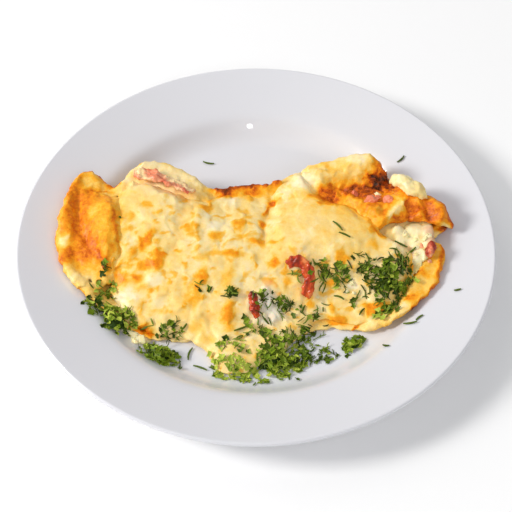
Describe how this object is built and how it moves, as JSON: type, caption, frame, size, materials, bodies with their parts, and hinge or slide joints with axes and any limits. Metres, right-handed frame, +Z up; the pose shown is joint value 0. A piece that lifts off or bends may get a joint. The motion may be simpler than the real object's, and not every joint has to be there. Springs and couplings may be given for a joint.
{
  "type": "folded omelette on a plate",
  "caption": "Folded omelette under melted cheese with ham, red pepper and chopped herbs, on a round white rimmed dinner plate.",
  "frame": {"origin": "centre of the plate's foot, on the surface it stands on", "axes": "+Z up; +X along the omelette towards its torn open end; +Y towards its folded back edge"},
  "size_m": [0.27, 0.27, 0.0399],
  "materials": {
    "glazed_white": "gloss",
    "fried_egg": "satin",
    "soft_curd": "satin",
    "melted_cheese": "satin",
    "cooked_ham": "satin",
    "roast_pepper": "gloss",
    "chopped_herb": "matte"
  },
  "bodies": {
    "root": {"plate": "glazed_white", "egg_sheet": "fried_egg", "filling": "soft_curd", "melted_cheese": "melted_cheese", "ham_slice": "cooked_ham", "ham_bit": "cooked_ham", "pepper_strip": "roast_pepper", "pepper_bit": "roast_pepper", "curd_lump": "soft_curd", "herb_heap_front": "chopped_herb", "herb_heap_right": "chopped_herb", "herb_tuft_left": "chopped_herb", "herb_tuft_low": "chopped_herb", "herb_sprig_front": "chopped_herb"}
  },
  "joints": []
}
